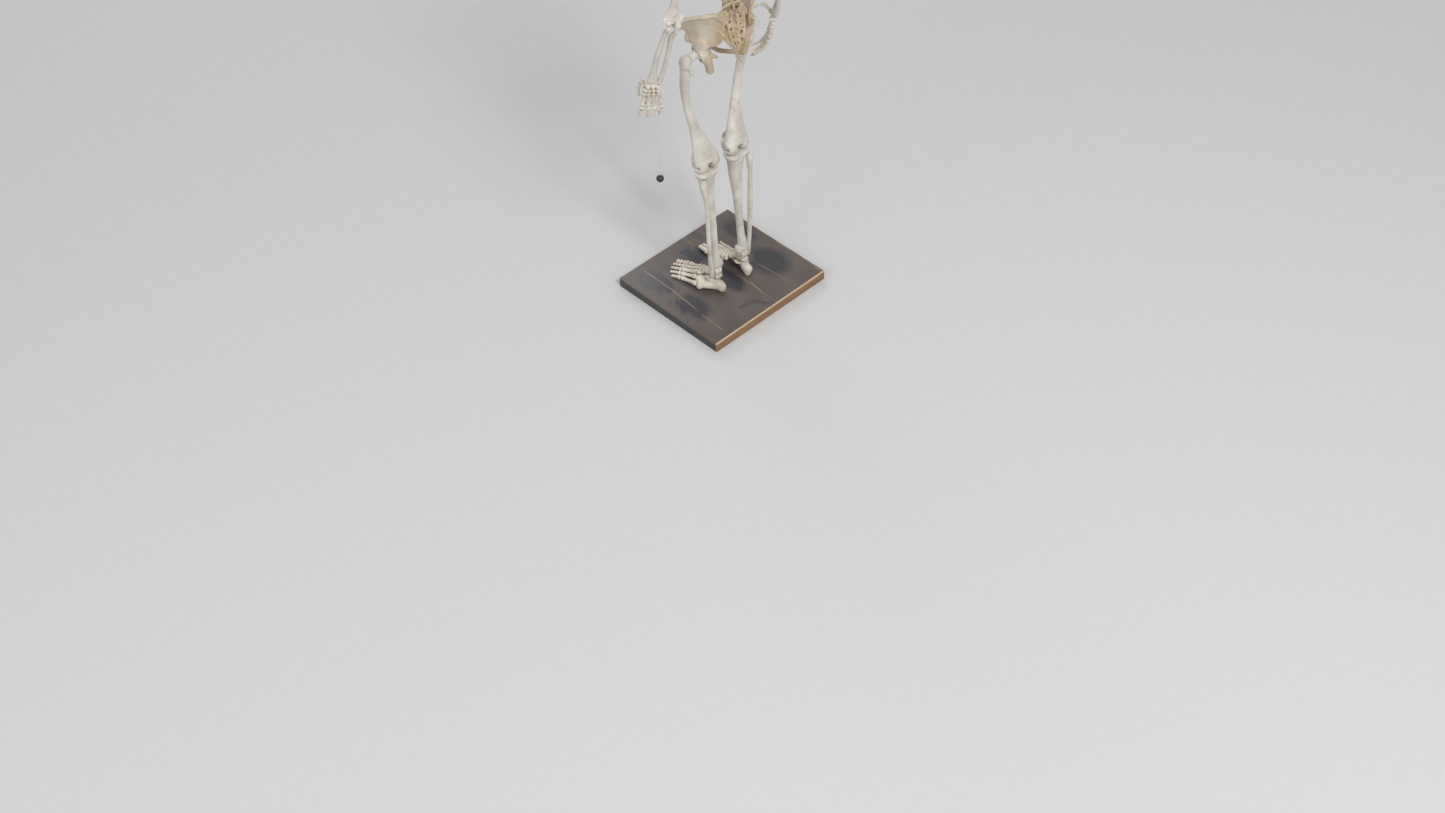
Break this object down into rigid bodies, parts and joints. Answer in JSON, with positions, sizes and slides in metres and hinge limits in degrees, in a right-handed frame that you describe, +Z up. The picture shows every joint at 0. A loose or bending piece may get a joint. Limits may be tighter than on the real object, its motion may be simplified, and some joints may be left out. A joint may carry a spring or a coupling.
{
  "type": "human skeleton model",
  "caption": "Life-size standing human skeleton teaching model, aged-bone finish, jointed at the limbs, neck and jaw, feet screwed to a stone-topped board.",
  "frame": {"origin": "centre of the base board's underside, on the floor", "axes": "+Z up, -Y the way the figure faces, +X towards the figure's left hand"},
  "size_m": [0.561, 0.45, 1.8],
  "materials": {
    "bone": "cast resin, grey ivory with warm stains in the hollows",
    "stained_bone": "cast resin, heavily stained tan and brown",
    "cartilage": "dull, stained",
    "steel": "plain",
    "stone": "polished, brown grey with tan veins and blue-black patches",
    "board": "black lacquered edges",
    "wood_edge": "oiled orange brown, pale top lip",
    "bob": "dull black"
  },
  "bodies": {
    "stand": {"base_board": "board", "stone_top": "stone", "rear_edge_trim": "wood_edge", "left_foot_bolt": "steel", "right_foot_bolt": "steel", "left_foot": "bone", "right_foot": "bone", "left_ankle_pin": "steel", "right_ankle_pin": "steel"},
    "left_shank": {"left_tibia": "bone", "left_fibula": "bone", "left_knee_pin": "steel"},
    "left_thigh": {"left_femur": "bone", "left_patella": "bone"},
    "right_shank": {"right_tibia": "bone", "right_fibula": "bone", "right_knee_pin": "steel"},
    "right_thigh": {"right_femur": "bone", "right_patella": "bone"},
    "trunk": {"left_hip_bone": "stained_bone", "right_hip_bone": "stained_bone", "left_hip_bolt": "steel", "right_hip_bolt": "steel", "sacrum": "stained_bone", "pubic_disc": "cartilage", "spine_rod": "steel", "lumbar_spine": "stained_bone", "thoracic_spine": "bone", "cervical_spine": "bone", "rib_cage": "bone", "left_clavicle": "bone", "right_clavicle": "bone", "left_scapula": "bone", "right_scapula": "bone", "left_shoulder_bolt": "steel", "right_shoulder_bolt": "steel"},
    "skull": {"cranium": "bone"},
    "cap": {"skull_cap": "bone"},
    "jaw": {"mandible": "bone"},
    "left_upper_arm": {"left_humerus": "bone"},
    "left_forearm": {"left_ulna": "bone", "left_radius": "bone"},
    "left_hand": {"left_palm": "bone"},
    "left_thumb": {"left_thumb": "bone"},
    "left_index": {"left_index_finger": "bone"},
    "left_middle": {"left_middle_finger": "bone"},
    "left_ring": {"left_ring_finger": "bone"},
    "left_little": {"left_little_finger": "bone"},
    "right_upper_arm": {"right_humerus": "bone"},
    "right_forearm": {"right_ulna": "bone", "right_radius": "bone"},
    "right_hand": {"right_palm": "bone"},
    "right_thumb": {"right_thumb": "bone"},
    "right_index": {"right_index_finger": "bone"},
    "right_middle": {"right_middle_finger": "bone"},
    "right_ring": {"right_ring_finger": "bone"},
    "right_little": {"right_little_finger": "bone"},
    "bob": {"plumb_bob": "bob"}
  },
  "joints": [
    {"name": "left_ankle", "type": "hinge", "parent": "stand", "child": "left_shank", "pos_m": [0.06, 0.032, 0.11], "axis": [1, 0, 0], "range_deg": [-8, 15]},
    {"name": "left_knee", "type": "hinge", "parent": "left_shank", "child": "left_thigh", "pos_m": [0.065, -0.005, 0.531], "axis": [1, 0, 0], "range_deg": [-70, 0]},
    {"name": "right_ankle", "type": "hinge", "parent": "stand", "child": "right_shank", "pos_m": [-0.06, 0.032, 0.11], "axis": [1, 0, 0], "range_deg": [-8, 15]},
    {"name": "right_knee", "type": "hinge", "parent": "right_shank", "child": "right_thigh", "pos_m": [-0.065, -0.005, 0.531], "axis": [1, 0, 0], "range_deg": [-70, 0]},
    {"name": "hip", "type": "hinge", "parent": "left_thigh", "child": "trunk", "pos_m": [0.09, 0, 0.956], "axis": [1, 0, 0], "range_deg": [-8, 60]},
    {"name": "neck_turn", "type": "hinge", "parent": "trunk", "child": "skull", "pos_m": [0, 0.012, 1.674], "axis": [0, 0, 1], "range_deg": [-60, 60]},
    {"name": "jaw_open", "type": "hinge", "parent": "skull", "child": "jaw", "pos_m": [0, 0.013, 1.672], "axis": [1, 0, 0], "range_deg": [0, 14]},
    {"name": "cap_lift", "type": "slide", "parent": "skull", "child": "cap", "axis": [0, 0, 1], "range_m": [0, 0.08]},
    {"name": "left_shoulder", "type": "hinge", "parent": "trunk", "child": "left_upper_arm", "pos_m": [0.182, 0.012, 1.464], "axis": [-1, 0, 0], "range_deg": [-35, 60]},
    {"name": "left_elbow", "type": "hinge", "parent": "left_upper_arm", "child": "left_forearm", "pos_m": [0.24, 0.044, 1.153], "axis": [-0.9397, 0.342, 0], "range_deg": [0, 90]},
    {"name": "left_wrist", "type": "hinge", "parent": "left_forearm", "child": "left_hand", "pos_m": [0.255, -0.03, 0.912], "axis": [-0.7071, 0.7071, 0], "range_deg": [-25, 30]},
    {"name": "right_shoulder", "type": "hinge", "parent": "trunk", "child": "right_upper_arm", "pos_m": [-0.182, 0.012, 1.464], "axis": [-1, 0, 0], "range_deg": [-35, 60]},
    {"name": "right_elbow", "type": "hinge", "parent": "right_upper_arm", "child": "right_forearm", "pos_m": [-0.24, 0.044, 1.153], "axis": [-0.9397, -0.342, 0], "range_deg": [0, 90]},
    {"name": "right_wrist", "type": "hinge", "parent": "right_forearm", "child": "right_hand", "pos_m": [-0.255, -0.03, 0.912], "axis": [-0.7071, -0.7071, 0], "range_deg": [-25, 30]},
    {"name": "left_index_knuckle", "type": "hinge", "parent": "left_hand", "child": "left_index", "pos_m": [0.27078, -0.06231, 0.82882], "axis": [-0.7071, 0.7071, 0], "range_deg": [-15, 20]},
    {"name": "left_middle_knuckle", "type": "hinge", "parent": "left_hand", "child": "left_middle", "pos_m": [0.25891, -0.05084, 0.82684], "axis": [-0.7071, 0.7071, 0], "range_deg": [-15, 20]},
    {"name": "left_ring_knuckle", "type": "hinge", "parent": "left_hand", "child": "left_ring", "pos_m": [0.24612, -0.03746, 0.82981], "axis": [-0.7071, 0.7071, 0], "range_deg": [-15, 20]},
    {"name": "left_little_knuckle", "type": "hinge", "parent": "left_hand", "child": "left_little", "pos_m": [0.23267, -0.02263, 0.83674], "axis": [-0.7071, 0.7071, 0], "range_deg": [-15, 20]},
    {"name": "left_thumb_joint", "type": "hinge", "parent": "left_hand", "child": "left_thumb", "pos_m": [0.26419, -0.05475, 0.888], "axis": [0, 0, -1], "range_deg": [-12, 5]},
    {"name": "right_index_knuckle", "type": "hinge", "parent": "right_hand", "child": "right_index", "pos_m": [-0.26873, -0.06436, 0.82928], "axis": [-0.7071, -0.7071, 0], "range_deg": [-25, 20]},
    {"name": "right_middle_knuckle", "type": "hinge", "parent": "right_hand", "child": "right_middle", "pos_m": [-0.25681, -0.05293, 0.82731], "axis": [-0.7071, -0.7071, 0], "range_deg": [-25, 20]},
    {"name": "right_ring_knuckle", "type": "hinge", "parent": "right_hand", "child": "right_ring", "pos_m": [-0.2441, -0.03948, 0.83026], "axis": [-0.7071, -0.7071, 0], "range_deg": [-25, 20]},
    {"name": "right_little_knuckle", "type": "hinge", "parent": "right_hand", "child": "right_little", "pos_m": [-0.23082, -0.02448, 0.83715], "axis": [-0.7071, -0.7071, 0], "range_deg": [-25, 20]},
    {"name": "right_thumb_joint", "type": "hinge", "parent": "right_hand", "child": "right_thumb", "pos_m": [-0.26773, -0.05121, 0.898], "axis": [0, 0, 1], "range_deg": [-12, 5]},
    {"name": "bob_swing", "type": "hinge", "parent": "left_ring", "child": "bob", "pos_m": [0.1996, -0.07126, 0.76138], "axis": [1, 0, 0], "range_deg": [-15, 15]}
  ],
  "couplings": [
    {"joint": "right_ankle", "follows": "left_ankle", "ratio": 1},
    {"joint": "right_knee", "follows": "left_knee", "ratio": 1}
  ]
}
